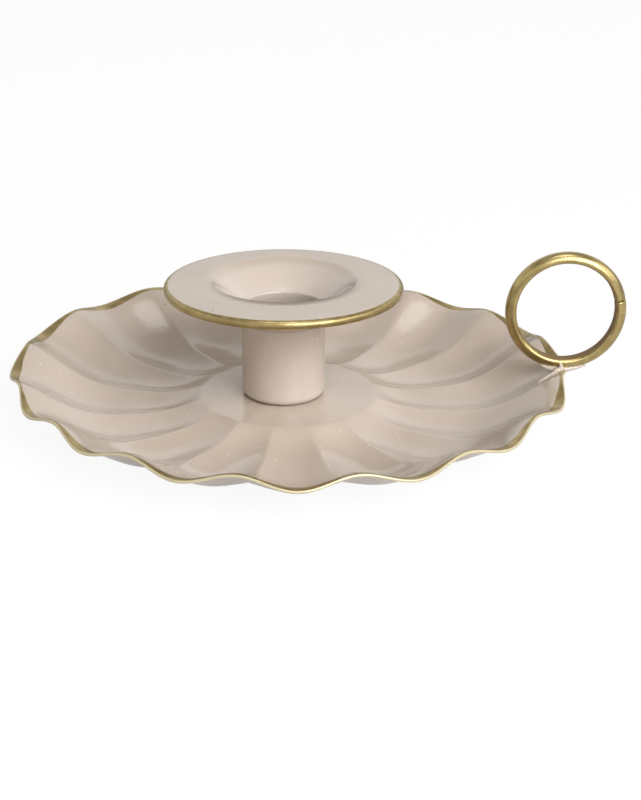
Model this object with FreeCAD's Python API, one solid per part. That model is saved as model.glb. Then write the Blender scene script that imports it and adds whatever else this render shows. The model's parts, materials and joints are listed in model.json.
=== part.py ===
"""Chamberstick: a fluted saucer of sheet steel, a candle cup with a wide drip pan, and a brass finger loop.

Lengths are millimetres. +Z is up and the table is at z = 0. The saucer and the loop are built about the
saucer's upright axis and the rest about the cup's. All are then moved so that the middle of the footprint
is the origin.
"""
import FreeCAD
import Part
import math
import os
from FreeCAD import Vector

# Saucer: one round blank, pressed into scoops that meet in sharp ridges
sheet_t = 0.8
dish_r = 81.0          # rim in the middle of a scoop
rim_tuck = 2.0         # how far a ridge draws the rim inwards
rim_low_z = 12.2       # upper face of the rim in the middle of a scoop
ridge_h = 3.0          # how far the ridge stands over the scoop at the rim
scoops = 16
scoop_turn = 1.65      # degrees that the scoop under the loop is off the loop's middle
stand_r = 46.0         # ring on which the saucer stands
disc_r = 25.0          # flat raised disc in the middle
disc_z = 5.0           # upper face of that disc
foot_flat_depth = 0.15 # flat pressed on each scoop where it meets the table

# Candle cup: a drawn tube with a closed floor
cup_r = 12.05
cup_wall = 0.8
cup_top_z = 32.3
cup_shift = 1.4        # the cup stands this far off the saucer's middle, away from the loop
cup_corner_r = 2.3
cup_lip_r = 0.25       # rounding of the tube's mouth

# Drip pan: a flat ring with a bell mouth, a collar over the cup's top, and a rolled edge
pan_t = 0.8
pan_r = 34.3           # outside of the rolled edge
pan_lip_z = 38.6       # upper face of the flat ring
pan_bell_r = 22.5      # where the flat ring starts to fall towards the cup
pan_bell_slope = 12.0  # degrees that it falls at first
pan_throat_slope = 35.0 # degrees that it falls where it meets the cup
pan_collar_len = 4.0
roll_r = 1.3           # outer radius of the rolled edge
roll_turn = 265.0      # degrees that the edge is rolled through

# Finger loop: a D-section bar bent round until its ends meet
loop_in_r = 14.3
loop_t = 3.1
loop_w = 4.8
loop_side_h = 0.7      # straight side of the bar, above its flat inner face
loop_edge_r = 0.3      # rounding along the flat inner face
loop_tuck = 1.5        # loop's middle, measured in from the rim
loop_lift = 0.4        # gap between the rim and the loop, full of solder
loop_lean = 2.5        # degrees that its top leans to +Y
loop_joint_angle = 8.0 # degrees above the outer side where the bar's ends meet
loop_joint_gap = 0.15

# Solder under the loop
cradle_t = 0.9         # thickness of the run of solder right under the loop
cradle_angle = 24.0    # degrees that it creeps up the loop each way
cradle_w = 3.8
lump_len = 3.6         # half the length of the lump, along the scoop
lump_w = 2.7           # half its width
lump_h = 1.5           # half its height

# Solder ring under the pan's collar
collar_fillet = 0.6

# Rivet through the cup's floor and the saucer, with a washer below
rivet_r = 1.6
rivet_head_r = 4.0
rivet_head_h = 1.1
rivet_tail_r = 2.7
rivet_tail_h = 1.0
washer_r = 4.5
washer_t = 0.8

# Shape of the saucer between its named sizes
disc_edge_share = 0.08   # softness of the disc's edge
fall_share = 2.6         # how quickly the sheet falls from the disc
rise_share = 1.5         # how late the sheet starts to rise to the rim
stations = 16            # sections of a scoop, from the disc to the rim
station_share = 1.4      # crowds them towards the disc
ridge_share = 0.6        # how soon the ridges rise outside the disc
scoop_round_share = 0.35 # roundness of the scoops between their ridges
bell_out_share = 0.25    # how far the bell keeps its first slope, as a share of its width
bell_in_share = 0.3      # how far it keeps the throat's slope
strips = 8               # strips across a scoop

overrun = 5.0            # how far a cutting tool runs past what it cuts
slope_step = 0.05        # step along the sheet for reading its slope

well_z = sheet_t - foot_flat_depth
cup_bore_r = cup_r - cup_wall
loop_r = loop_in_r + loop_t
loop_x = dish_r - loop_tuck
axis_x = (dish_r - loop_x - loop_r) / 2
scoop_angle = 360.0 / scoops


def softened(x):
    """x with a rounded start, still 1 at 1."""
    return x * x / (x + disc_edge_share) * (1 + disc_edge_share)


def scoop_floor(r):
    """Height of the upper face along the middle of a scoop."""
    if r <= stand_r:
        left = 1 - softened(max(r - disc_r, 0) / (stand_r - disc_r))
        return well_z + (disc_z - well_z) * (1 - (1 - max(left, 0) ** fall_share))
    x = ((r - stand_r) / (dish_r - stand_r)) ** rise_share
    return well_z + (rim_low_z - well_z) * x * x * (3 - 2 * x)


def ridge_over_floor(r):
    """How far the ridges stand over the scoops at this radius."""
    return ridge_h * softened(max(r - disc_r, 0) / (dish_r - disc_r)) ** ridge_share


def side_rise(across):
    """Rounded in the middle of a scoop and straight towards its ridges, from 0 to 1."""
    rise = math.hypot(across, scoop_round_share) - scoop_round_share
    return rise / (math.hypot(1, scoop_round_share) - scoop_round_share)


def sheet_z(r, across):
    """Height of the upper face, where across runs from -1 on one ridge through 0 to 1 on the next."""
    return scoop_floor(r) + ridge_over_floor(r) * side_rise(across)


def sheet_points(depth):
    """Points of one scoop, a depth below its upper face and square to the sheet."""
    rows = []
    for i in range(stations + 1):
        out = (i / stations) ** station_share
        row = []
        for j in range(strips + 1):
            across = 2 * j / strips - 1
            r = disc_r + (dish_r - rim_tuck * side_rise(across) - disc_r) * out
            rise = sheet_z(r, across) - sheet_z(r - slope_step, across)
            slope = math.atan2(rise, slope_step) if i else 0
            angle = math.radians(across * scoop_angle / 2)
            reach = r + depth * math.sin(slope)
            z = sheet_z(r, across) - depth * math.cos(slope)
            row.append(Vector(reach * math.cos(angle), reach * math.sin(angle), z))
        rows.append(row)
    return rows


def spline(points):
    curve = Part.BSplineSurface()
    curve.interpolate(points)
    return curve


def scoop_faces():
    """Upper face, lower face and rim edge of one scoop, with its two inner edges."""
    upper = spline(sheet_points(0))
    lower = spline(sheet_points(sheet_t))
    upper_rim = upper.uIso(upper.bounds()[1])
    lower_rim = lower.uIso(lower.bounds()[1])
    rim = Part.makeRuledSurface(upper_rim.toShape(), lower_rim.toShape())
    inner = [surface.uIso(surface.bounds()[0]).toShape() for surface in (upper, lower)]
    return [upper.toShape(), lower.toShape(), rim], inner


def turned(shape, angle):
    copy = shape.copy()
    copy.rotate(Vector(0, 0, 0), Vector(0, 0, 1), angle)
    return copy


def dish():
    one_scoop, (upper_edge, lower_edge) = scoop_faces()
    turns = [k * scoop_angle + scoop_turn for k in range(scoops)]
    faces = [turned(face, angle) for face in one_scoop for angle in turns]
    for edge in (upper_edge, lower_edge):
        faces.append(Part.Face(Part.Wire([turned(edge, angle) for angle in turns])))
    shell = Part.Compound(faces)
    shell.sewShape()
    sheet = Part.Solid(Part.Shell(shell.Faces))
    if sheet.Volume < 0:
        sheet.reverse()
    below_table = Part.makeCylinder(dish_r + overrun, overrun, Vector(0, 0, -overrun))
    rivet_hole = Part.makeCylinder(rivet_r, disc_z + overrun, Vector(-cup_shift, 0, 0))
    return sheet.cut(below_table).cut(rivet_hole)


def line(a, b):
    return Part.LineSegment(a, b).toShape()


def polar(r, angle):
    """Step of length r in the XZ plane, at an angle in degrees from +X."""
    return Vector(r * math.cos(math.radians(angle)), 0, r * math.sin(math.radians(angle)))


def arc(centre, r, start, end):
    """Arc in the XZ plane, from one angle to another."""
    points = [centre + polar(r, angle) for angle in (start, (start + end) / 2, end)]
    return Part.Arc(*points).toShape()


def spun(edges):
    """Solid of revolution about the cup's axis."""
    face = Part.Face(Part.Wire(edges))
    return face.revolve(Vector(0, 0, 0), Vector(0, 0, 1), 360)


def candle_cup():
    inner_corner_r = cup_corner_r - cup_wall
    corner = Vector(cup_r - cup_corner_r, 0, disc_z + cup_corner_r)
    floor_z = disc_z + cup_wall
    mouth_z = cup_top_z - cup_lip_r
    outer_lip = Vector(cup_r - cup_lip_r, 0, mouth_z)
    inner_lip = Vector(cup_bore_r + cup_lip_r, 0, mouth_z)
    edges = [
        line(Vector(rivet_r, 0, disc_z), Vector(corner.x, 0, disc_z)),
        arc(corner, cup_corner_r, -90, 0),
        line(Vector(cup_r, 0, corner.z), Vector(cup_r, 0, mouth_z)),
        arc(outer_lip, cup_lip_r, 0, 90),
        line(Vector(outer_lip.x, 0, cup_top_z), Vector(inner_lip.x, 0, cup_top_z)),
        arc(inner_lip, cup_lip_r, 90, 180),
        line(Vector(cup_bore_r, 0, mouth_z), Vector(cup_bore_r, 0, corner.z)),
        arc(corner, inner_corner_r, 0, -90),
        line(Vector(corner.x, 0, floor_z), Vector(rivet_r, 0, floor_z)),
        line(Vector(rivet_r, 0, floor_z), Vector(rivet_r, 0, disc_z)),
    ]
    return spun(edges)


def bell(inner_r, top_z):
    """Curve that falls from the flat ring's edge to the throat, where the cup's mouth is."""
    first = (pan_bell_r - inner_r) * bell_out_share
    last = (pan_bell_r - inner_r) * bell_in_share
    first_fall = first * math.tan(math.radians(pan_bell_slope))
    last_rise = last * math.tan(math.radians(pan_throat_slope))
    curve = Part.BezierCurve()
    curve.setPoles([
        Vector(pan_bell_r, 0, top_z),
        Vector(pan_bell_r - first, 0, top_z - first_fall),
        Vector(inner_r + last, 0, cup_top_z + last_rise),
        Vector(inner_r, 0, cup_top_z),
    ])
    return curve.toShape()


def drip_pan():
    collar_r = cup_r + pan_t
    roll = Vector(pan_r - roll_r, 0, pan_lip_z - roll_r)
    collar_z = cup_top_z - pan_collar_len
    under_z = pan_lip_z - pan_t
    end_angle = 90 - roll_turn
    inner_roll_r = roll_r - pan_t
    outer_end, inner_end = (roll + polar(r, end_angle) for r in (roll_r, inner_roll_r))
    edges = [
        line(Vector(cup_r, 0, collar_z), Vector(cup_r, 0, cup_top_z)),
        bell(cup_r, pan_lip_z),
        line(Vector(pan_bell_r, 0, pan_lip_z), Vector(roll.x, 0, pan_lip_z)),
        arc(roll, roll_r, 90, end_angle),
        line(outer_end, inner_end),
        arc(roll, inner_roll_r, end_angle, 90),
        line(Vector(roll.x, 0, under_z), Vector(pan_bell_r, 0, under_z)),
        bell(collar_r, under_z),
        line(Vector(collar_r, 0, cup_top_z), Vector(collar_r, 0, collar_z)),
        line(Vector(collar_r, 0, collar_z), Vector(cup_r, 0, collar_z)),
    ]
    return spun(edges)


def collar_solder():
    """Concave ring of solder in the corner between the pan's collar and the cup."""
    collar_z = cup_top_z - pan_collar_len
    low = Vector(cup_r, 0, collar_z - collar_fillet)
    corner = Vector(cup_r, 0, collar_z)
    out = Vector(cup_r + min(collar_fillet, pan_t), 0, collar_z)
    return spun([line(corner, low), line(low, out), line(out, corner)])


def loop_place(shape):
    """Leans a shape built about the loop's foot and stands it over the rim."""
    shape = shape.copy()
    shape.rotate(Vector(0, 0, 0), Vector(1, 0, 0), -loop_lean)
    shape.translate(Vector(loop_x, 0, rim_low_z + loop_lift))
    return shape


def loop_section():
    """Half-round section of the bar, flat towards the loop's middle, at the loop's outer side."""
    half_w = loop_w / 2
    side_r = loop_in_r + loop_side_h
    edge_r = loop_in_r + loop_edge_r
    bulge_r = loop_in_r + loop_edge_r * (1 - math.sqrt(0.5))
    flat_w = half_w - loop_edge_r
    bulge_w = half_w - loop_edge_r * (1 - math.sqrt(0.5))

    def bent(*ends):
        return Part.Arc(*(Vector(r, y, 0) for r, y in ends)).toShape()

    return Part.Face(Part.Wire([
        line(Vector(loop_in_r, -flat_w, 0), Vector(loop_in_r, flat_w, 0)),
        bent((loop_in_r, flat_w), (bulge_r, bulge_w), (edge_r, half_w)),
        line(Vector(edge_r, half_w, 0), Vector(side_r, half_w, 0)),
        bent((side_r, half_w), (loop_r, 0), (side_r, -half_w)),
        line(Vector(side_r, -half_w, 0), Vector(edge_r, -half_w, 0)),
        bent((edge_r, -half_w), (bulge_r, -bulge_w), (loop_in_r, -flat_w)),
    ]))


def finger_loop():
    section = loop_section()
    section.rotate(Vector(0, 0, 0), Vector(0, 1, 0), -loop_joint_angle)
    gap_angle = math.degrees(loop_joint_gap / loop_r)
    bar = section.revolve(Vector(0, 0, 0), Vector(0, 1, 0), 360 - gap_angle)
    bar.translate(Vector(0, 0, loop_r))
    return loop_place(bar)


def loop_solder(saucer, loop):
    """Solder that creeps along the underside of the loop and fills the corner over the rim."""
    drop = cradle_t / (1 - math.cos(math.radians(cradle_angle)))
    cradle_start = Vector(0, -cradle_w / 2, loop_r - drop)
    cradle = Part.makeCylinder(loop_r + cradle_t - drop, cradle_w, cradle_start, Vector(0, 1, 0))
    eye_w = loop_w + 2 * overrun
    inside = Part.makeCylinder(loop_in_r, eye_w, Vector(0, -eye_w / 2, loop_r), Vector(0, 1, 0))
    stretch = FreeCAD.Matrix()
    stretch.scale(lump_len, lump_w, lump_h)
    lump = Part.makeSphere(1).transformGeometry(stretch)
    lump.translate(Vector(-loop_tuck, 0, 0))
    run = loop_place(cradle.fuse(lump).cut(inside))
    pieces = run.cut(saucer).cut(loop).Solids
    return max(pieces, key=lambda piece: piece.Volume)


def centre_rivet():
    floor_z = disc_z + cup_wall
    under_z = disc_z - sheet_t - washer_t
    shank = Part.makeCylinder(rivet_r, floor_z - under_z, Vector(0, 0, under_z))
    head = Part.makeCone(rivet_head_r, rivet_head_r - rivet_head_h / 2, rivet_head_h, Vector(0, 0, floor_z))
    tail_z = under_z - rivet_tail_h
    tail = Part.makeCone(rivet_tail_r - rivet_tail_h / 2, rivet_tail_r, rivet_tail_h, Vector(0, 0, tail_z))
    return shank.fuse(head).fuse(tail)


def rivet_washer():
    under_z = disc_z - sheet_t - washer_t
    ring = Part.makeCylinder(washer_r, washer_t, Vector(0, 0, under_z))
    return ring.cut(Part.makeCylinder(rivet_r, washer_t, Vector(0, 0, under_z)))


def main():
    saucer = dish()
    loop = finger_loop()
    about_saucer = {
        "dish": saucer,
        "finger_loop": loop,
        "loop_solder": loop_solder(saucer, loop),
    }
    about_cup = {
        "candle_cup": candle_cup(),
        "drip_pan": drip_pan(),
        "collar_solder": collar_solder(),
        "centre_rivet": centre_rivet(),
        "rivet_washer": rivet_washer(),
    }
    for shape in about_cup.values():
        shape.translate(Vector(-cup_shift, 0, 0))
    os.makedirs("parts", exist_ok=True)
    for name, shape in (about_saucer | about_cup).items():
        shape.translate(Vector(axis_x, 0, 0))
        shape.exportStep(f"parts/{name}.step")
        box = shape.BoundBox
        print(
            name, len(shape.Solids), shape.isValid(), round(shape.Volume, 2),
            [round(v, 2) for v in (box.XMin, box.YMin, box.ZMin, box.XMax, box.YMax, box.ZMax)],
        )


main()
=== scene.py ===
import json
import math

import bmesh
import bpy
from mathutils import Matrix, Vector
from mathutils.geometry import interpolate_bezier


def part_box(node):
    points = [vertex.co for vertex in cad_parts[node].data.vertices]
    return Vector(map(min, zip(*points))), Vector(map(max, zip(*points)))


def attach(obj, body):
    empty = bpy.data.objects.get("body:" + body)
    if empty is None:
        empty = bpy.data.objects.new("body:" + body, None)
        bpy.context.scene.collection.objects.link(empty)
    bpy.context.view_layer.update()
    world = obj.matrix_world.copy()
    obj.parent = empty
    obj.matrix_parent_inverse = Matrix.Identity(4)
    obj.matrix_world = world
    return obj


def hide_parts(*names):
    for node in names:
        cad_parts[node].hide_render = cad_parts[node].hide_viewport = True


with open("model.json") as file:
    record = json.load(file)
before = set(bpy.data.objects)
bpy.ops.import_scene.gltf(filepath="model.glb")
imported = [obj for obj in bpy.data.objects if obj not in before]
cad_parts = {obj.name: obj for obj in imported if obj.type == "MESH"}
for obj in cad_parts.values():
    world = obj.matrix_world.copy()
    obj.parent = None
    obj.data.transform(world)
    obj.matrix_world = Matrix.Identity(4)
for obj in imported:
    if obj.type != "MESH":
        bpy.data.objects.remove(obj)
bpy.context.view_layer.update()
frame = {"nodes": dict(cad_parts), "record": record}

MM = 0.001
IMAGE_W, IMAGE_H = 641, 800
LOOK_DOWN = 21.5            # degrees that the camera looks down
CAMERA_AWAY = 480.0         # mm from the middle of the rim plane
FOCAL_PX = 1650.0           # focal length in pixels of the photograph
SAUCER_PX = (288.4, 365.0)  # where the middle of the rim plane falls in the photograph
LAMP_TARGET_Z = 0.015       # metres
SHARP_FROM = 50.0           # degrees between faces, from which an edge stays sharp
NO_GILT = 40.0              # value of past_gilt far from any gilding
CUT_EDGE_HIGHLIGHT = -20.0           # value of past_gilt on the cut edge, which is painted pale as a painted highlight


def in_mm(node):
    """Lowest and highest corner of a CAD node, in millimetres."""
    lo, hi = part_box(node)
    return Vector(lo) / MM, Vector(hi) / MM


dish_lo, dish_hi = in_mm("dish")
cup_lo, cup_hi = in_mm("candle_cup")
pan_lo, pan_hi = in_mm("drip_pan")
loop_lo, loop_hi = in_mm("finger_loop")

# Saucer, in millimetres, about its own axis
saucer_x = (dish_lo.x + dish_hi.x) / 2
saucer_r = (dish_hi.x - dish_lo.x) / 2
sheet_t = 0.8
scoops = 16
scoop_turn = 1.65           # degrees that the scoops are turned from the loop
rivet_hole_r = 1.6
disc_r = 25.0
disc_z = cup_lo.z
disc_edge_share = 0.08      # how soft the edge of the disc is
stand_r = 46.0              # where the scoops stand on the table
foot_flat_depth = 0.15
well_z = sheet_t - foot_flat_depth
rim_low_z = 12.2
rim_mid_z = rim_low_z + 1.2
rim_tuck = 2.0              # how much less far the ridges reach than the scoops
ridge_h = 2.85
scoop_round_share = 0.9
fall_power = 2.6            # shape of the fall from the disc to the stand
rise_power = 1.5            # shape of the rise from the stand to the rim
ridge_power = 0.5           # how soon the ridges rise on their way out
wave_power = 3.0            # how late, on the way to the rim, the crisp ridges turn into waves
flare_power = 4.0           # how late, on the way to the rim, the ridges flare out flat
uneven_power = 1.5          # how late, on the way to the rim, it gets uneven
slope_step = 0.05           # length over which the sheet's slope is taken

# How far the hand-set rim is off the regular one, in millimetres: all round, and then the cosine and sine of
# one, two and three waves round the rim
rim_outwards = (-0.58, (-0.07, -0.05), (0.83, -1.17), (0.43, 1.15))
rim_upwards = (-0.42, (-0.01, -0.18), (0.09, -0.30), (0.29, -0.12))
regular_by_loop = 20.0      # degrees to each side of the loop where the rim gets regular

# Gilding by brush, in millimetres
gilt_band = 3.3
gilt_wavers = ((0.35, 3, 1.0), (0.25, 7, 0.0))  # size, count round the rim and phase
gilt_below_share = 0.6      # of rim_tuck, on the underside
gilt_slant_share = 1.1      # length along the slanting face, of the same in plan
cut_edge_round = 0.32

# Candle cup and drip pan, in millimetres, about the cup's axis
socket = next(m for m in frame["record"]["mounts"] if m["name"] == "candle_socket")
cup_x = socket["pos_m"][0] / MM
bore_r = socket["dims"]["r_mm"]
cup_r = (cup_hi.x - cup_lo.x) / 2
cup_wall = cup_r - bore_r
cup_corner_r = 2.3
cup_lip_share = 0.9         # of the wall, the rounding of the cup's mouth
pan_r = (pan_hi.x - pan_lo.x) / 2
pan_t = 0.8
pan_tilt = 0.8              # degrees that the pan's front is bent up
pan_chip = (saucer_x - 20.5, -24.0, pan_hi.z)
bell_r = 22.5
bell_slope = 12.0           # degrees at the bell's outer edge
throat_slope = 35.0         # degrees where the bell meets the collar
bell_out_share = 0.25
bell_in_share = 0.3
bell_back = 4.0             # how far back the bell's outer edge is off the cup's axis
bell_in_by = 1.0            # how much smaller that edge is, which leaves more flat ring in front
roll_r = 1.3
roll_turn = 265.0           # degrees that the pan's edge is rolled
roll_gilt_from = 84.0       # degrees round the roll where its gilding starts
roll_gilt_past = 0.2        # further in along the roll, where the brush went past that

# Finger loop, in millimetres, about its own middle
loop_in_r = 14.3
loop_t = 3.1
loop_w = 4.8
loop_side_h = 1.0           # height of the bar's sides, all taken up by the rounding of its inner edges
loop_end_round = 0.4
loop_lean = 2.5
loop_joint_angle = 12.0
loop_joint_gap = 0.15
loop_r = loop_in_r + loop_t
loop_x = (loop_lo.x + loop_hi.x) / 2 + 0.25
loop_foot_z = rim_low_z + 0.4

# Strings of solder drops about the foot of the loop, each drop (x, y, z, radius) in millimetres. The tail's
# drops lie on the saucer, each (share of the way to the rim, degrees, radius).
solder_along = ((-6.4, -0.9, 1.15, 0.35), (-4.4, -1.1, 0.45, 0.75), (-1.8, -1.3, -0.1, 1.2),
                (1.2, -1.1, 0.0, 0.85), (4.2, -0.9, 0.5, 0.6), (6.4, -0.8, 1.15, 0.35))
solder_smear = ((-1.1, -2.4, 2.1, 0.5), (-0.8, -2.4, 1.5, 0.55), (-0.7, -2.5, 0.6, 0.8),
                (-2.2, -2.4, -0.2, 1.1))
solder_tail = ((0.945, -4.0, 0.8), (0.925, -5.9, 0.6), (0.90, -7.4, 0.45), (0.865, -8.3, 0.3))
solder_proud = 0.1          # how far the middles of the tail's drops are above the sheet
solder_between = 9          # steps from each of these drops to the next
solder_voxel = 0.22


def linear(hex_colour):
    """sRGB hex colour as linear red, green, blue and full alpha."""
    channels = [int(hex_colour[i:i + 2], 16) / 255 for i in (1, 3, 5)]
    return [c / 12.92 if c <= 0.04045 else ((c + 0.055) / 1.055) ** 2.4 for c in channels] + [1.0]


def add(tree, kind, sockets=(), gives=None, **settings):
    """One node with its settings. sockets holds values, or other nodes' outputs to link, in the sockets'
    order or by their names and numbers. gives picks an output to hand back in place of the node."""
    node = tree.nodes.new("ShaderNode" + kind)
    for name, value in settings.items():
        setattr(node, name, value)
    if not isinstance(sockets, dict):
        sockets = dict(enumerate(sockets))
    for name, value in sockets.items():
        if isinstance(value, bpy.types.NodeSocket):
            tree.links.new(value, node.inputs[name])
        else:
            node.inputs[name].default_value = value
    return node if gives is None else node.outputs[gives]


def new_material(name):
    """Empty material with its shader and output, and the place on the piece in millimetres."""
    material = bpy.data.materials.new(name)
    material.use_nodes = True
    tree = material.node_tree
    tree.nodes.clear()
    shader = add(tree, "BsdfPrincipled")
    add(tree, "OutputMaterial", {"Surface": shader.outputs["BSDF"]})
    place = add(tree, "TexCoord", gives="Object")
    return material, tree, shader, add(tree, "VectorMath", (place, (1 / MM,) * 3), 0, operation="MULTIPLY")


def stove_enamel(name, tones, gilt_edge):
    """Sprayed stove enamel on pressed steel: a warm grey-beige gloss with faint clouds, a slight orange
    peel, and a few nibs of dust under the skin. The pan has one chip. The bell's wall is painted paler, a
    painted sheen of overhead light, and the inside of the cup is painted darker towards its bottom, painted
    shade in the deep bore. Its edge is gilded by brush where gilt_edge is set."""
    cloud_size, nib_spacing, speck_spacing, peel_size = 28.0, 4.6, 21.0, 2.2
    material, tree, shader, place = new_material(name)
    clouds = add(tree, "TexNoise", {"Vector": place, "Scale": 1 / cloud_size, "Detail": 3.0}, "Fac")
    nibs = add(tree, "TexVoronoi", {"Vector": place, "Scale": 1 / nib_spacing}, "Distance", feature="F1")
    specks = add(tree, "TexVoronoi", {"Vector": place, "Scale": 1 / speck_spacing}, "Distance", feature="F1")
    from_chip = add(tree, "VectorMath", (place, pan_chip), "Value", operation="DISTANCE")
    from_axis = add(tree, "VectorMath", (place, (1, 1, 0), (-cup_x, 0, 0)), 0, operation="MULTIPLY_ADD")
    from_axis = add(tree, "VectorMath", (from_axis,), "Value", operation="LENGTH")
    level = add(tree, "SeparateXYZ", (place,), "Z")
    cloud, nib, speck, chip, bored, depth, above_cup, below_ring, shine = [
        add(tree, "MapRange", step, "Result", interpolation_type="SMOOTHSTEP") for step in (
            (clouds, 0.35, 0.65),
            (nibs, 0.045, 0.085, 1.0, 0.0),
            (specks, 0.012, 0.02, 1.0, 0.0),
            (from_chip, 0.35, 0.5, 1.0, 0.0),
            (from_axis, bore_r + 0.1, bore_r + 0.3, 1.0, 0.0),
            (level, cup_hi.z - 3.0, cup_hi.z, 0.3, 0.0),
            (level, cup_hi.z - 1.0, cup_hi.z, 0.0, 0.75),
            (level, pan_hi.z - 2.0, pan_hi.z - 0.6, 1.0, 0.0),
            (clouds, 0.3, 0.7, 0.11, 0.15))]
    # painted shade: the inside of the cup's bore is painted darker, more so towards its bottom
    painted_cup_shade = add(tree, "Math", (bored, depth), 0, operation="MULTIPLY")
    # painted sheen: the bell wall, from the cup's mouth up to near the flat ring, is painted paler, standing
    # in for light reflected from overhead
    painted_bell_sheen = add(tree, "Math", (above_cup, below_ring), 0, operation="MULTIPLY")
    colour = linear(tones[0])
    coats = [(cloud, tones[1]), (nib, "#EBE2D7"), (speck, "#7E6A55"), (chip, "#3E3128"), (painted_cup_shade, "#8A7B6C"),
             (painted_bell_sheen, "#DACDC4")]
    for mask, coat in coats:
        colour = add(tree, "Mix", {"Factor": mask, 6: colour, 7: linear(coat)}, 2, data_type="RGBA")
    if gilt_edge:
        past = add(tree, "Attribute", gives="Fac", attribute_name="past_gilt")
        colour, metal, shine = brushed_gilt(tree, place, past, colour, shine)
        tree.links.new(metal, shader.inputs["Metallic"])
    peel = add(tree, "TexNoise", {"Vector": place, "Scale": 1 / peel_size}, "Fac")
    nib_height = add(tree, "Math", (nib, 0.6), 0, operation="MULTIPLY")
    height = add(tree, "Math", (peel, nib_height), 0, operation="ADD")
    bump = add(tree, "Bump", {"Height": height, "Strength": 0.8, "Distance": 0.07 * MM}, 0)
    for socket_name, value in (("Base Color", colour), ("Roughness", shine), ("Normal", bump)):
        tree.links.new(value, shader.inputs[socket_name])
    return material


def brushed_gilt(tree, place, past, colour, shine):
    """Bronze-gold paint laid over the enamel by brush, where past is below nought: satin, with an edge that
    wanders a little. The cut edge is painted a pale matt, a painted highlight where it catches the light."""
    wander_size, tone_size = 5.0, 3.0
    wander = add(tree, "TexNoise", {"Vector": place, "Scale": 1 / wander_size, "Detail": 3.0}, "Fac")
    wander = add(tree, "Math", (wander, 0.5), 0, operation="SUBTRACT")
    line = add(tree, "Math", (wander, 0.9, past), 0, operation="MULTIPLY_ADD")
    tone = add(tree, "TexNoise", {"Vector": place, "Scale": 1 / tone_size, "Detail": 3.0}, "Fac")
    gilt, tone, painted_edge_highlight = [
        add(tree, "MapRange", step, "Result", interpolation_type="SMOOTHSTEP") for step in (
            (line, -0.12, 0.1, 1.0, 0.0),
            (tone, 0.35, 0.7),
            (past, CUT_EDGE_HIGHLIGHT + 1, CUT_EDGE_HIGHLIGHT + 4, 1.0, 0.0))]
    tones = {"Factor": tone, 6: linear("#9E8B5D"), 7: linear("#B39F6E")}
    gold = add(tree, "Mix", tones, 2, data_type="RGBA")
    # painted highlight: the cut edge is painted a pale matt
    for mask, coat in ((gilt, gold), (painted_edge_highlight, linear("#D8CDAA"))):
        colour = add(tree, "Mix", {"Factor": mask, 6: colour, 7: coat}, 2, data_type="RGBA")
    metal = add(tree, "MapRange", (gilt, 0.0, 1.0, 0.0, 0.9), "Result", interpolation_type="SMOOTHSTEP")
    metal = add(tree, "Math", (painted_edge_highlight, -0.5, metal), 0, operation="MULTIPLY_ADD")
    return colour, metal, add(tree, "Mix", {"Factor": gilt, 2: shine, 3: 0.32}, 0)


def drawn_brass(name):
    """Half-round brass bar, drawn and bent, with a worn satin polish: fine lines run along the bar. The
    inner face is painted a darker brown as painted shade and dark reflection, and is duller. The lines are
    drawn coarser than they are, or they wouldn't show."""
    line_length, line_spacing, dull_size = 4.0, 1 / 9, 4.0
    material, tree, shader, place = new_material(name)
    bar = add(tree, "UVMap", gives=0, uv_map="bar")
    lines = add(tree, "VectorMath", (bar, (1 / line_length, 1 / line_spacing, 1.0)), 0, operation="MULTIPLY")
    drawn = add(tree, "TexNoise", {"Vector": lines, "Scale": 1.0}, "Fac")
    dull = {"Vector": place, "Scale": 1 / dull_size, "Detail": 4.0, "Roughness": 0.6}
    dull = add(tree, "TexNoise", dull, "Fac")
    inner = add(tree, "Attribute", gives="Fac", attribute_name="inner_face")
    dull, shine, metal = [
        add(tree, "MapRange", step, "Result", interpolation_type="SMOOTHSTEP") for step in (
            (dull, 0.35, 0.7),
            (drawn, 0.3, 0.7, 0.26, 0.34),
            (inner, 0.0, 1.0, 1.0, 0.25))]
    colour = linear("#A89564")
    # painted shade: the inner face is painted a darker brown, standing in for dark reflection
    for mask, coat in ((dull, "#BCA976"), (inner, "#80663C")):
        colour = add(tree, "Mix", {"Factor": mask, 6: colour, 7: linear(coat)}, 2, data_type="RGBA")
    shine = add(tree, "Mix", {"Factor": inner, 2: shine, 3: 0.6}, 0)
    bump = add(tree, "Bump", {"Height": drawn, "Strength": 0.2, "Distance": 0.03 * MM}, 0)
    tree.links.new(metal, shader.inputs["Metallic"])
    for socket_name, value in (("Base Color", colour), ("Roughness", shine), ("Normal", bump)):
        tree.links.new(value, shader.inputs[socket_name])
    return material


def zinc_plated_steel(name):
    """Turned steel with a dull zinc plate: a cold grey with a fine tumbled grain."""
    grain_size = 0.7
    material, tree, shader, place = new_material(name)
    grain = add(tree, "TexNoise", {"Vector": place, "Scale": 1 / grain_size, "Detail": 3.0}, "Fac")
    tone = add(tree, "MapRange", (grain, 0.3, 0.7), "Result", interpolation_type="SMOOTHSTEP")
    tones = {"Factor": tone, 6: linear("#8F8E8A"), 7: linear("#A9A8A3")}
    colour = add(tree, "Mix", tones, 2, data_type="RGBA")
    bump = add(tree, "Bump", {"Height": grain, "Strength": 0.3, "Distance": 0.03 * MM}, 0)
    tree.links.new(colour, shader.inputs["Base Color"])
    tree.links.new(bump, shader.inputs["Normal"])
    shader.inputs["Metallic"].default_value = 1.0
    shader.inputs["Roughness"].default_value = 0.42
    return material


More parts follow.
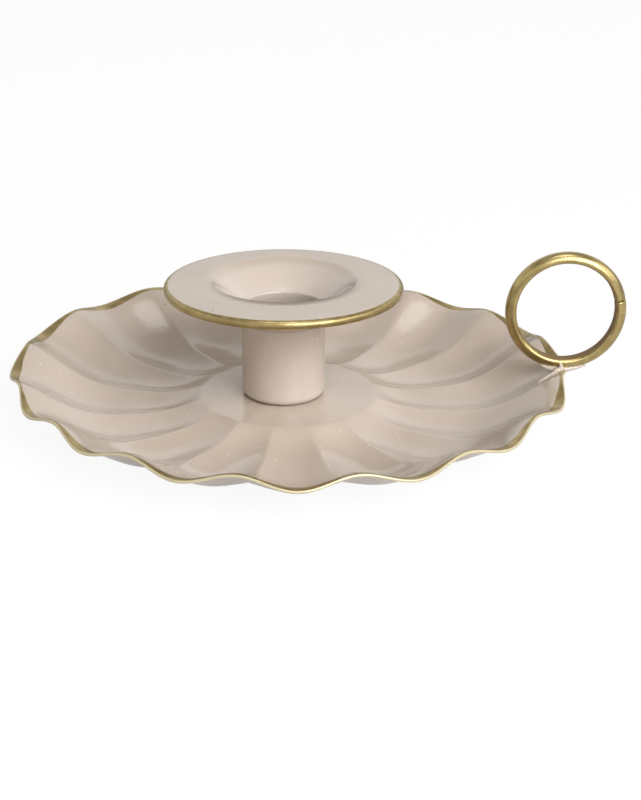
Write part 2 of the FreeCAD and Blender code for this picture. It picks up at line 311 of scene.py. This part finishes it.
def piece(name, shape, material, slot, *nodes):
    """Puts a shape made in millimetres into the scene, standing for its CAD nodes."""
    bmesh.ops.scale(shape, vec=(MM,) * 3, verts=shape.verts)
    mesh = bpy.data.meshes.new(name)
    shape.to_mesh(mesh)
    shape.free()
    mesh.shade_smooth()
    mesh.set_sharp_from_angle(angle=math.radians(SHARP_FROM))
    mesh.materials.append(material)
    made = bpy.data.objects.new(name, mesh)
    bpy.context.collection.objects.link(made)
    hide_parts(*nodes)
    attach(made, "root")
    return made


def softened(x):
    """x with a rounded start, still 1 at 1."""
    return x * x / (x + disc_edge_share) * (1 + disc_edge_share)


def scoop_floor(r):
    """Height of the upper face along the middle of a scoop."""
    if r <= stand_r:
        left = 1 - softened(max(r - disc_r, 0) / (stand_r - disc_r))
        return well_z + (disc_z - well_z) * (1 - (1 - max(left, 0) ** fall_power))
    x = ((r - stand_r) / (saucer_r - stand_r)) ** rise_power
    return well_z + (rim_low_z - well_z) * x * x * (3 - 2 * x)


def side_rise(across, out):
    """Rise from the middle of a scoop to its ridges, from 0 to 1: hollows between crisp ridges inside, and
    even waves at the rim."""
    hollow = math.hypot(across, scoop_round_share) - scoop_round_share
    hollow /= math.hypot(1, scoop_round_share) - scoop_round_share
    wave = (1 - math.cos(math.pi * across)) / 2
    return hollow + (wave - hollow) * out ** wave_power


def out_of_true(angle):
    """How far the hand-set rim is off the regular one at this angle, outwards and upwards."""
    from_loop = min(abs(math.remainder(angle, math.tau)) / math.radians(regular_by_loop), 1)
    off = []
    for all_round, *waves in (rim_outwards, rim_upwards):
        for count, (cosine, sine) in enumerate(waves, 1):
            all_round += cosine * math.cos(count * angle) + sine * math.sin(count * angle)
        off.append(all_round * from_loop ** 2)
    return off


def saucer_point(out, angle, depth):
    """Point of the saucer, and its own radius before the rim is set by hand: out goes from 0 at the disc to
    1 at the rim, and depth is below the upper face."""
    scoop = 360 / scoops
    across = ((math.degrees(angle) + scoop / 2) % scoop) / scoop * 2 - 1
    rise = side_rise(across, out)
    r = disc_r + (saucer_r - rim_tuck * rise - disc_r) * out
    flare = rim_tuck * rise * out ** flare_power

    def height(radius):
        start = softened(max(radius - disc_r, 0) / (saucer_r - disc_r))
        return scoop_floor(radius + flare) + ridge_h * start ** ridge_power * rise

    slope = math.atan2(height(r) - height(r - slope_step), slope_step) if out > 0 else 0
    outwards, upwards = out_of_true(angle)
    off = max((r - stand_r) / (saucer_r - stand_r), 0) ** uneven_power
    reach = r + outwards * off + depth * math.sin(slope)
    turn = angle + math.radians(scoop_turn)
    z = height(r) + upwards * off - depth * math.cos(slope)
    return Vector((reach * math.cos(turn), reach * math.sin(turn), z)), r


def saucer():
    """Both faces of the pressed sheet, spun from a radius and pressed into scoops, joined round the rim and
    round the rivet's hole."""
    rings, columns, crowding = 64, scoops * 20, 1.15
    shape = bmesh.new()
    past_gilt = shape.verts.layers.float.new("past_gilt")
    outs = [(i / rings) ** crowding for i in range(rings + 1)]
    faces = {}
    for depth in (0.0, sheet_t):
        spoke = [shape.verts.new((rivet_hole_r, 0, depth))]
        spoke += [shape.verts.new((disc_r + out, 0, depth)) for out in outs]
        edges = [shape.edges.new(pair) for pair in zip(spoke, spoke[1:])]
        before = set(shape.faces)
        bmesh.ops.spin(shape, geom=spoke + edges, cent=(0, 0, 0), axis=(0, 0, 1), angle=math.tau,
                       steps=columns, use_merge=True)
        faces[depth] = [f for f in shape.faces if f not in before]
    for vert in shape.verts:
        r, angle, depth = vert.co.xy.length, math.atan2(vert.co.y, vert.co.x), vert.co.z
        if r < (rivet_hole_r + disc_r) / 2:
            vert.co = Vector((vert.co.x + cup_x - saucer_x, vert.co.y, disc_z - depth))
            vert[past_gilt] = NO_GILT
        else:
            out = min(max(r - disc_r, 0), 1)
            vert.co, own_r = saucer_point(out, angle, depth)
            vert.co.z = max(vert.co.z, 0.0)
            waver = sum(size * math.sin(count * angle + phase) for size, count, phase in gilt_wavers)
            band = gilt_band + waver if depth == 0 else rim_tuck * gilt_below_share
            vert[past_gilt] = (saucer_r - own_r - band) * gilt_slant_share
    bmesh.ops.reverse_faces(shape, faces=[f for f in faces[0.0] if f.is_valid])
    open_edges = [e for e in shape.edges if e.is_boundary]
    rim = [e for e in open_edges if e.verts[0].co.xy.length > disc_r]
    bmesh.ops.bridge_loops(shape, edges=rim)
    bmesh.ops.bridge_loops(shape, edges=[e for e in open_edges if e.verts[0].co.xy.length < disc_r])
    cut = bmesh.ops.bevel(shape, geom=[e for e in rim if e.is_valid], offset=cut_edge_round, segments=3,
                          affect="EDGES", profile=0.5, material=-1)
    # the cut edge's vertices take the pale painted highlight
    for vert in cut["verts"]:
        vert[past_gilt] = CUT_EDGE_HIGHLIGHT
    bmesh.ops.recalc_face_normals(shape, faces=shape.faces)
    bmesh.ops.translate(shape, vec=(saucer_x, 0, 0), verts=shape.verts)
    return shape


def bend(centre, r, start, end, count):
    """Points on an arc in the XZ plane, angles in degrees."""
    angles = [math.radians(start + (end - start) * i / count) for i in range(count + 1)]
    return [(centre[0] + r * math.cos(a), centre[1] + r * math.sin(a)) for a in angles]


def spun(outline, x, columns=128, gilt=None):
    """Closed outline of (radius, height) turned about the upright axis at x. gilt says how far past the
    gilding each point is."""
    shape = bmesh.new()
    past_gilt = shape.verts.layers.float.new("past_gilt")
    verts = []
    for i, (r, z) in enumerate(outline):
        vert = shape.verts.new((r, 0, z))
        vert[past_gilt] = gilt[i] if gilt else NO_GILT
        verts.append(vert)
    edges = [shape.edges.new((a, b)) for a, b in zip(verts, verts[1:] + verts[:1])]
    bmesh.ops.spin(shape, geom=verts + edges, cent=(0, 0, 0), axis=(0, 0, 1), angle=math.tau,
                   steps=columns, use_merge=True)
    bmesh.ops.recalc_face_normals(shape, faces=shape.faces)
    bmesh.ops.translate(shape, vec=(x, 0, 0), verts=shape.verts)
    return shape


def tube():
    """Candle cup: drawn tube with a rounded bottom corner and a rounded mouth."""
    lip = cup_wall * cup_lip_share
    corner = (cup_r - cup_corner_r, cup_lo.z + cup_corner_r)
    outline = [(rivet_hole_r, cup_lo.z)]
    outline += bend(corner, cup_corner_r, -90, 0, 10)
    outline += [(cup_r, corner[1] + (cup_hi.z - corner[1]) * i / 4) for i in (1, 2, 3, 4)]
    outline += bend((bore_r + lip, cup_hi.z - lip), lip, 90, 180, 8)
    outline += bend(corner, cup_corner_r - cup_wall, 0, -90, 8)
    outline += [(rivet_hole_r, cup_lo.z + cup_wall)]
    return spun(outline, cup_x)


def bell(inner_r, top_z, count=18):
    """Bell mouth from its outer edge in to the collar, as (radius, height)."""
    first, last = ((bell_r - inner_r) * share for share in (bell_out_share, bell_in_share))
    fall = first * math.tan(math.radians(bell_slope))
    rise = last * math.tan(math.radians(throat_slope))
    outer, inner = Vector((bell_r, top_z)), Vector((inner_r, cup_hi.z))
    bend_points = outer - Vector((first, fall)), inner + Vector((last, rise))
    return [tuple(p) for p in interpolate_bezier(outer, *bend_points, inner, count)]


def drip_pan():
    """Flat ring with a bell mouth and a rolled edge, gilded from the top of the roll outwards. Its bell is
    set back and the whole is tilted a little, as by hand."""
    top_z = pan_hi.z
    collar_r = cup_r + pan_t
    roll_mid = (pan_r - roll_r, top_z - roll_r)
    flat = [(bell_r + (roll_mid[0] - bell_r) * share, top_z) for share in (0.25, 0.5, 0.75, 0.9)]
    outer_roll = bend(roll_mid, roll_r, 90, 90 - roll_turn, 30)
    inner_roll = bend(roll_mid, roll_r - pan_t, 90 - roll_turn, 90, 12)
    outline = [(cup_r, pan_lo.z)] + bell(cup_r, top_z)[::-1] + flat + outer_roll + inner_roll
    outline += bell(collar_r, top_z - pan_t) + [(collar_r, pan_lo.z)]
    gilt = []
    for r, z in outline:
        angle = math.degrees(math.atan2(z - roll_mid[1], r - roll_mid[0]))
        past = math.radians(angle - roll_gilt_from) * roll_r - roll_gilt_past
        gilt.append(past if (r, z) in outer_roll else NO_GILT)
    shape = spun(outline, 0, 192, gilt)
    for vert in shape.verts:
        r, turn = vert.co.xy.length, math.atan2(vert.co.y, vert.co.x)
        side = bell_back * math.cos(turn)
        edge_r = bell_back * math.sin(turn) + math.sqrt((bell_r - bell_in_by) ** 2 - side ** 2)
        if r < bell_r:
            share = max(r - collar_r, 0) / (bell_r - collar_r)
        else:
            share = max(roll_mid[0] - r, 0) / (roll_mid[0] - bell_r)
        moved = r + (edge_r - bell_r) * share
        vert.co = Vector((moved * math.cos(turn), moved * math.sin(turn), vert.co.z))
    bmesh.ops.translate(shape, vec=(cup_x, 0, 0), verts=shape.verts)
    tilt = Matrix.Rotation(math.radians(-pan_tilt), 3, "X")
    bmesh.ops.rotate(shape, cent=(cup_x, 0, pan_lo.z), matrix=tilt, verts=shape.verts)
    return shape


def bar_section():
    """Half-round section of the loop's bar with rounded inner edges, as (radius, side)."""
    half_w = loop_w / 2
    side_r = loop_in_r + loop_side_h
    bulge = loop_r - side_r
    dome_r = (half_w ** 2 + bulge ** 2) / (2 * bulge)
    dome = math.asin(half_w / dome_r)
    edge = [(side_r - loop_side_h * math.cos(a), half_w - loop_side_h + loop_side_h * math.sin(a))
            for a in (math.radians(90 * i / 6) for i in range(7))]
    crown = [(loop_r - dome_r + dome_r * math.cos(a), dome_r * math.sin(a))
             for a in (dome * (1 - i / 6) for i in range(1, 12))]
    return [(loop_in_r, 0)] + edge + crown + [(r, -y) for r, y in edge[::-1]]


def finger_loop():
    """Half-round bar bent until its two ends meet, with the ends filed, stood over the rim."""
    shape = bmesh.new()
    inner_face = shape.verts.layers.float.new("inner_face")
    verts = []
    for r, y in bar_section():
        vert = shape.verts.new((r, y, 0))
        vert[inner_face] = 1.0 if r < loop_in_r + 0.1 else 0.0
        verts.append(vert)
    start = shape.faces.new(verts)
    joint = Matrix.Rotation(math.radians(-loop_joint_angle), 3, "Y")
    bmesh.ops.rotate(shape, cent=(0, 0, 0), matrix=joint, verts=verts)
    turn = math.tau - loop_joint_gap / loop_r
    ends = bmesh.ops.spin(shape, geom=[start], cent=(0, 0, 0), axis=(0, -1, 0), angle=turn, steps=180)
    caps = [start] + [g for g in ends["geom_last"] if isinstance(g, bmesh.types.BMFace)]
    cap_edges = list({e for cap in caps if cap.is_valid for e in cap.edges})
    bmesh.ops.bevel(shape, geom=cap_edges, offset=loop_end_round, segments=3, affect="EDGES", profile=0.5,
                    material=-1)
    bmesh.ops.recalc_face_normals(shape, faces=shape.faces)
    bar = shape.loops.layers.uv.new("bar")
    for face in shape.faces:
        for loop in face.loops:
            x, y, z = loop.vert.co
            loop[bar].uv = (math.atan2(z, x) * loop_r, y + math.hypot(x, z))
    lean = Matrix.Rotation(math.radians(-loop_lean), 4, "X")
    bmesh.ops.translate(shape, vec=(0, 0, loop_r), verts=shape.verts)
    bmesh.ops.transform(shape, matrix=lean, verts=shape.verts)
    bmesh.ops.translate(shape, vec=(loop_x, 0, loop_foot_z), verts=shape.verts)
    return shape


def solder_run():
    """Solder under the loop: a run along its underside, a lump with a smear up the bar's front, and a tail
    that runs down into the scoop. Each is a string of drops that melt together."""
    tail = [solder_smear[-1]]
    for out, angle, size in solder_tail:
        x, y, z = saucer_point(out, math.radians(angle), 0.0)[0]
        tail.append((x + saucer_x - loop_x, y, z - loop_foot_z + solder_proud, size))
    shape = bmesh.new()
    for run in (solder_along, solder_smear, tail):
        for start, end in zip(run, run[1:]):
            for i in range(solder_between + 1):
                x, y, z, size = (a + (b - a) * i / solder_between for a, b in zip(start, end))
                bmesh.ops.create_icosphere(shape, subdivisions=2, radius=size,
                                           matrix=Matrix.Translation((x, y, z)))
    bmesh.ops.translate(shape, vec=(loop_x, 0, loop_foot_z), verts=shape.verts)
    return shape


def melt(made, voxel):
    """Joins a piece's overlapping shapes into one smooth skin."""
    remesh = made.modifiers.new("join", "REMESH")
    remesh.mode = "VOXEL"
    remesh.voxel_size = voxel * MM
    remesh.use_smooth_shade = True
    smooth = made.modifiers.new("flow", "SMOOTH")
    smooth.factor = 0.5
    smooth.iterations = 5


# painted sheen: the plain enamel's tones are less warm than the gilt enamel's, standing in for a neutral
# sheen of reflected light on the tube
plain_enamel = stove_enamel("stove_enamel_on_steel", ("#CABEB4", "#D0C5BC"), gilt_edge=False)
gilt_enamel = stove_enamel("stove_enamel_with_brushed_gilt_edge", ("#CBBDAF", "#D2C4B8"), gilt_edge=True)
brass = drawn_brass("drawn_half_round_brass")
steel = zinc_plated_steel("zinc_plated_rivet_steel")

piece("pressed_saucer", saucer(), gilt_enamel, "enamel", "dish")
piece("drawn_candle_tube", tube(), plain_enamel, "enamel", "candle_cup")
piece("bell_mouthed_drip_pan", drip_pan(), gilt_enamel, "enamel", "drip_pan")
piece("bent_brass_loop", finger_loop(), brass, "loop_brass", "finger_loop")
melt(piece("run_of_solder", solder_run(), plain_enamel, "painted_solder", "loop_solder"), solder_voxel)
for node, material in (("collar_solder", plain_enamel), ("centre_rivet", steel), ("rivet_washer", steel)):
    frame["nodes"][node].data.materials.clear()
    frame["nodes"][node].data.materials.append(material)


def white_surroundings():
    """World that is white where it is seen, lights the object evenly and is mirrored as a pale room with a
    bright diffuser overhead."""
    to_diffuser = (0.05, -0.12, 0.991)
    ambient = (0.335, 0.312, 0.28, 1.0)
    white = (1.0, 1.0, 1.0, 1.0)
    world = bpy.data.worlds.new("studio")
    bpy.context.scene.world = world
    world.use_nodes = True
    tree = world.node_tree
    tree.nodes.clear()
    seen, passed, mirrored = (add(tree, "LightPath").outputs[f"Is {ray} Ray"]
                              for ray in ("Camera", "Transmission", "Glossy"))
    shown = add(tree, "Math", (seen, passed), 0, operation="MAXIMUM")
    heading = add(tree, "TexCoord", gives="Generated")
    height = add(tree, "SeparateXYZ", (heading,), "Z")
    overhead = add(tree, "VectorMath", (heading, to_diffuser), "Value", operation="DOT_PRODUCT")
    walls, ceiling, diffuser = [
        add(tree, "MapRange", step, "Result", interpolation_type="SMOOTHSTEP") for step in (
            (height, 0.02, 0.36, 0.15, 1.1),
            (height, 0.45, 0.8, 1.0, 0.4),
            (overhead, 0.955, 0.99, 0.0, 3.5))]
    room = add(tree, "Math", (walls, ceiling, diffuser), 0, operation="MULTIPLY_ADD")
    room = add(tree, "CombineXYZ", (room, room, room), 0)
    colour = ambient
    for mask, light in ((mirrored, room), (shown, white)):
        colour = add(tree, "Mix", {"Factor": mask, 6: colour, 7: light}, 2, data_type="RGBA")
    back = add(tree, "Background", {"Color": colour, "Strength": 1.0}, 0)
    add(tree, "OutputWorld", {"Surface": back})


def paper_floor():
    """Wide sheet of white paper that shows white and keeps the object's shadow."""
    seen_share, mirrored_share = 0.85, 0.5  # how much of it glows, where it is seen and where it is mirrored
    half_side = 6.0
    material, tree, shader, _ = new_material("white_paper")
    shader.inputs["Base Color"].default_value = linear("#CFCDCA")
    shader.inputs["Roughness"].default_value = 0.9
    path = add(tree, "LightPath")
    glow = add(tree, "Emission", {"Color": (1.0, 1.0, 1.0, 1.0), "Strength": 1.09}, 0)
    seen, mirrored = path.outputs["Is Camera Ray"], path.outputs["Is Glossy Ray"]
    share = add(tree, "Math", (mirrored, mirrored_share), 0, operation="MULTIPLY")
    share = add(tree, "Math", (seen, seen_share, share), 0, operation="MULTIPLY_ADD")
    mixed = add(tree, "MixShader", (share, shader.outputs[0], glow), 0)
    out = next(n for n in tree.nodes if n.type == "OUTPUT_MATERIAL")
    tree.links.new(mixed, out.inputs["Surface"])
    shape = bmesh.new()
    bmesh.ops.create_grid(shape, x_segments=1, y_segments=1, size=half_side)
    mesh = bpy.data.meshes.new("floor")
    shape.to_mesh(mesh)
    shape.free()
    mesh.materials.append(material)
    floor = bpy.data.objects.new("floor", mesh)
    bpy.context.collection.objects.link(floor)


def softbox(name, round_by, up, away, size, power):
    """Square area lamp that looks at the saucer, from degrees right of the camera and above the table. Its
    distance and size are in metres and its power in watts."""
    lamp = bpy.data.lights.new(name, "AREA")
    lamp.shape = "SQUARE"
    lamp.size = size
    lamp.energy = power
    made = bpy.data.objects.new(name, lamp)
    round_by, up = math.radians(round_by), math.radians(up)
    towards = Vector((math.sin(round_by) * math.cos(up), -math.cos(round_by) * math.cos(up), math.sin(up)))
    aim = -away * towards
    made.location = Vector((saucer_x * MM, 0, LAMP_TARGET_Z)) - aim
    made.rotation_mode = "QUATERNION"
    made.rotation_quaternion = aim.to_track_quat("-Z", "Y")
    bpy.context.collection.objects.link(made)


def camera():
    """Camera at the photograph's angle, shifted so that the rim's middle falls on its pixel."""
    target = Vector((saucer_x, 0, rim_mid_z)) * MM
    down = math.radians(LOOK_DOWN)
    back = Vector((0, -math.cos(down), math.sin(down)))
    data = bpy.data.cameras.new("camera")
    data.lens = FOCAL_PX * data.sensor_width / IMAGE_H
    data.clip_start = 0.01
    data.shift_x = (IMAGE_W / 2 - SAUCER_PX[0]) / IMAGE_H
    data.shift_y = (SAUCER_PX[1] - IMAGE_H / 2) / IMAGE_H
    made = bpy.data.objects.new("camera", data)
    turn = (-back).to_track_quat("-Z", "Y").to_matrix()
    made.matrix_world = Matrix.Translation(target + back * CAMERA_AWAY * MM) @ turn.to_4x4()
    bpy.context.collection.objects.link(made)
    bpy.context.scene.camera = made


white_surroundings()
paper_floor()
softbox("key", 30, 32, 1.2, 0.8, 13.8)
softbox("side", 78, 28, 1.1, 0.4, 1.3)
softbox("spark", 12, 40, 0.9, 0.035, 0.22)
camera()
bpy.context.scene.view_settings.view_transform = "Standard"
